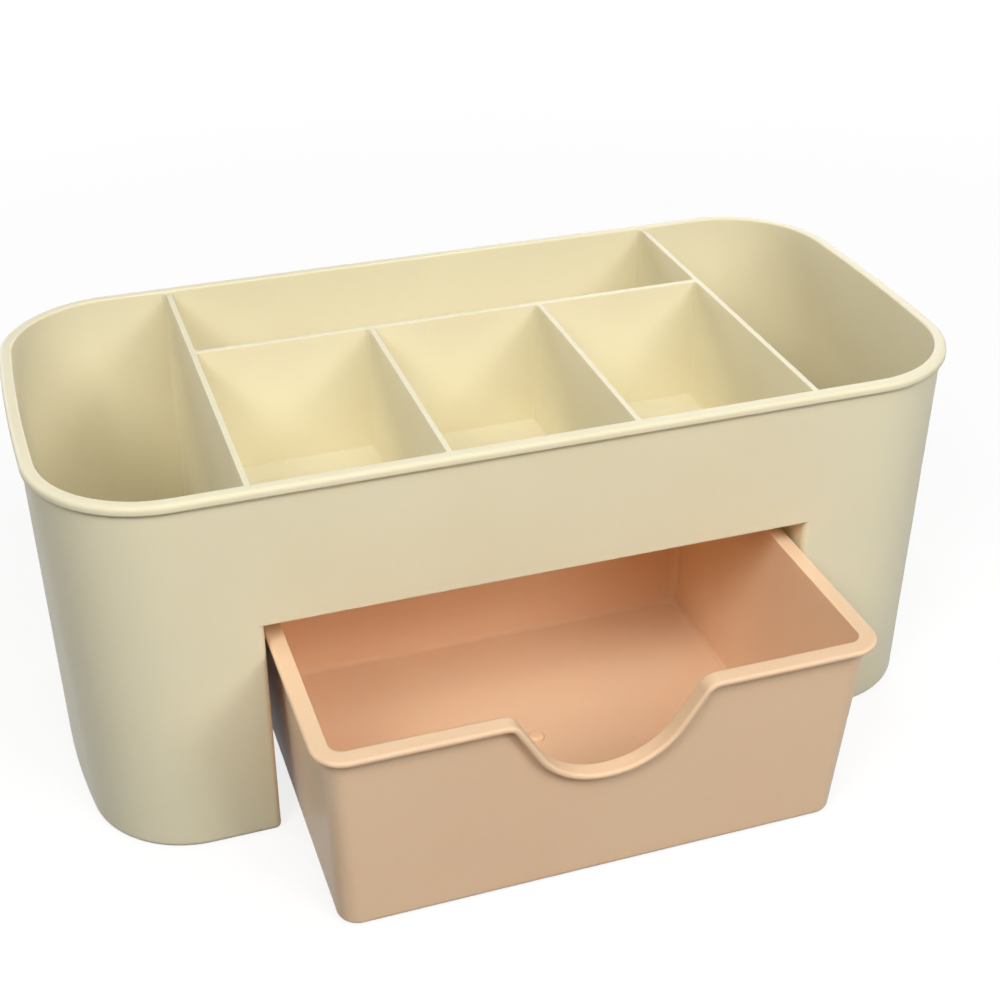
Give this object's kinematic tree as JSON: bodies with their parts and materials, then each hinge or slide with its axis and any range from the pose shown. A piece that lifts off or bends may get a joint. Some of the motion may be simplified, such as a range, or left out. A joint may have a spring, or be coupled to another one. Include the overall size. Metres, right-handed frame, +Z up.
{
  "type": "makeup organizer",
  "caption": "Oblong plastic makeup organizer with rounded ends, deep end bins, shallow cells on top and a scooped drawer that slides out in front.",
  "frame": {"origin": "on the table plane, under the middle of the bounding box with the drawer pulled out as pictured", "axes": "+X along the length to the right of someone facing the drawer, +Y from the drawer front to the back wall, +Z up"},
  "size_m": [0.22, 0.1499, 0.093],
  "materials": {
    "body": "satin cream polypropylene",
    "drawer": "satin peach polypropylene"
  },
  "bodies": {
    "body": {"body": "body"},
    "drawer": {"drawer": "drawer"}
  },
  "joints": [
    {"name": "drawer_slide", "type": "slide", "parent": "body", "child": "drawer", "axis": [0, -1, 0], "range_m": [-0.041, 0.04]}
  ]
}
